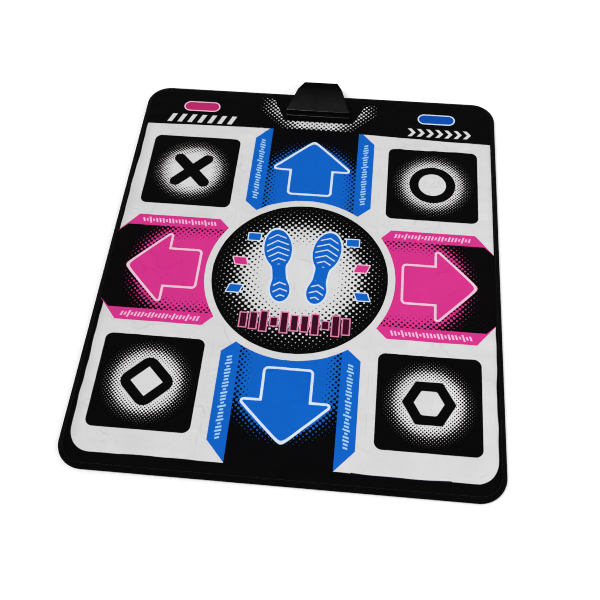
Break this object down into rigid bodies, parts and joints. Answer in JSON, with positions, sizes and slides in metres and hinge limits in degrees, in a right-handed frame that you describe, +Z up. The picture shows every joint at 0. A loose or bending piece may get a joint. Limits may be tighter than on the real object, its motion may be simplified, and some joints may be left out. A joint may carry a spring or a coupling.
{
  "type": "dance mat controller",
  "caption": "Padded floor mat with foot switches under printed corner squares and arrows, folding panels, bound edge and a control box on its back edge.",
  "frame": {"origin": "middle of the mat's underside, on the floor", "axes": "+X to the player's right, +Y from the player towards the control box, +Z up"},
  "size_m": [0.82, 0.99, 0.043],
  "materials": {
    "printed_cover": "matte",
    "black_print": "matte",
    "pink_print": "matte",
    "blue_print": "matte",
    "binding_tape": "matte",
    "base_cloth": "matte",
    "core_foam": "matte",
    "spacer_foam": "matte",
    "contact_film": "gloss",
    "carbon_contact": "matte",
    "shell_plastic": "satin",
    "clamp_plastic": "matte",
    "board_green": "satin",
    "chip_black": "matte",
    "screw_steel": "satin",
    "bush_rubber": "matte"
  },
  "bodies": {
    "middle_panel": {"base_sheet_middle": "base_cloth", "base_foam_middle": "core_foam", "lower_film_middle": "contact_film", "spacer_foam_middle": "spacer_foam", "upper_film_middle": "contact_film", "top_sheet_middle": "printed_cover", "binding_front": "binding_tape", "binding_back_left": "binding_tape", "binding_back_right": "binding_tape", "upper_shell": "shell_plastic", "lower_shell": "shell_plastic", "circuit_board": "board_green", "encoder_chip": "chip_black", "tail_clamp": "clamp_plastic", "film_tail": "contact_film", "cord_bush": "bush_rubber", "case_screw_front_left": "screw_steel", "case_screw_front_right": "screw_steel", "case_screw_rear_left": "screw_steel", "case_screw_rear_right": "screw_steel"},
    "left_panel": {"base_sheet_left": "base_cloth", "base_foam_left": "core_foam", "lower_film_left": "contact_film", "spacer_foam_left": "spacer_foam", "upper_film_left": "contact_film", "top_sheet_left": "printed_cover", "binding_left": "binding_tape"},
    "right_panel": {"base_sheet_right": "base_cloth", "base_foam_right": "core_foam", "lower_film_right": "contact_film", "spacer_foam_right": "spacer_foam", "upper_film_right": "contact_film", "top_sheet_right": "printed_cover", "binding_right": "binding_tape"},
    "back_left_switch": {"pad_back_left": "black_print", "contact_back_left": "carbon_contact"},
    "arrow_left_switch": {"pad_arrow_left": "pink_print", "contact_arrow_left": "carbon_contact"},
    "front_left_switch": {"pad_front_left": "black_print", "contact_front_left": "carbon_contact"},
    "small_left_switch": {"pad_small_left": "pink_print", "contact_small_left": "carbon_contact"},
    "arrow_back_switch": {"pad_arrow_back": "blue_print", "contact_arrow_back": "carbon_contact"},
    "arrow_front_switch": {"pad_arrow_front": "blue_print", "contact_arrow_front": "carbon_contact"},
    "back_right_switch": {"pad_back_right": "black_print", "contact_back_right": "carbon_contact"},
    "arrow_right_switch": {"pad_arrow_right": "pink_print", "contact_arrow_right": "carbon_contact"},
    "front_right_switch": {"pad_front_right": "black_print", "contact_front_right": "carbon_contact"},
    "small_right_switch": {"pad_small_right": "blue_print", "contact_small_right": "carbon_contact"}
  },
  "joints": [
    {"name": "left_fold", "type": "hinge", "parent": "middle_panel", "child": "left_panel", "pos_m": [-0.153, 0, 0.018], "axis": [0, 1, 0], "range_deg": [0, 160]},
    {"name": "right_fold", "type": "hinge", "parent": "middle_panel", "child": "right_panel", "pos_m": [0.153, 0, 0.018], "axis": [0, -1, 0], "range_deg": [0, 118]},
    {"name": "back_left_press", "type": "slide", "parent": "left_panel", "child": "back_left_switch", "axis": [0, 0, -1], "range_m": [0, 0.0026], "stiffness_N_per_m": 2500, "springref_m": -0.002},
    {"name": "arrow_left_press", "type": "slide", "parent": "left_panel", "child": "arrow_left_switch", "axis": [0, 0, -1], "range_m": [0, 0.0026], "stiffness_N_per_m": 2500, "springref_m": -0.002},
    {"name": "front_left_press", "type": "slide", "parent": "left_panel", "child": "front_left_switch", "axis": [0, 0, -1], "range_m": [0, 0.0026], "stiffness_N_per_m": 2500, "springref_m": -0.002},
    {"name": "small_left_press", "type": "slide", "parent": "left_panel", "child": "small_left_switch", "axis": [0, 0, -1], "range_m": [0, 0.0026], "stiffness_N_per_m": 250, "springref_m": -0.002},
    {"name": "arrow_back_press", "type": "slide", "parent": "middle_panel", "child": "arrow_back_switch", "axis": [0, 0, -1], "range_m": [0, 0.0026], "stiffness_N_per_m": 2500, "springref_m": -0.002},
    {"name": "arrow_front_press", "type": "slide", "parent": "middle_panel", "child": "arrow_front_switch", "axis": [0, 0, -1], "range_m": [0, 0.0026], "stiffness_N_per_m": 2500, "springref_m": -0.002},
    {"name": "back_right_press", "type": "slide", "parent": "right_panel", "child": "back_right_switch", "axis": [0, 0, -1], "range_m": [0, 0.0026], "stiffness_N_per_m": 2500, "springref_m": -0.002},
    {"name": "arrow_right_press", "type": "slide", "parent": "right_panel", "child": "arrow_right_switch", "axis": [0, 0, -1], "range_m": [0, 0.0026], "stiffness_N_per_m": 2500, "springref_m": -0.002},
    {"name": "front_right_press", "type": "slide", "parent": "right_panel", "child": "front_right_switch", "axis": [0, 0, -1], "range_m": [0, 0.0026], "stiffness_N_per_m": 2500, "springref_m": -0.002},
    {"name": "small_right_press", "type": "slide", "parent": "right_panel", "child": "small_right_switch", "axis": [0, 0, -1], "range_m": [0, 0.0026], "stiffness_N_per_m": 250, "springref_m": -0.002}
  ]
}
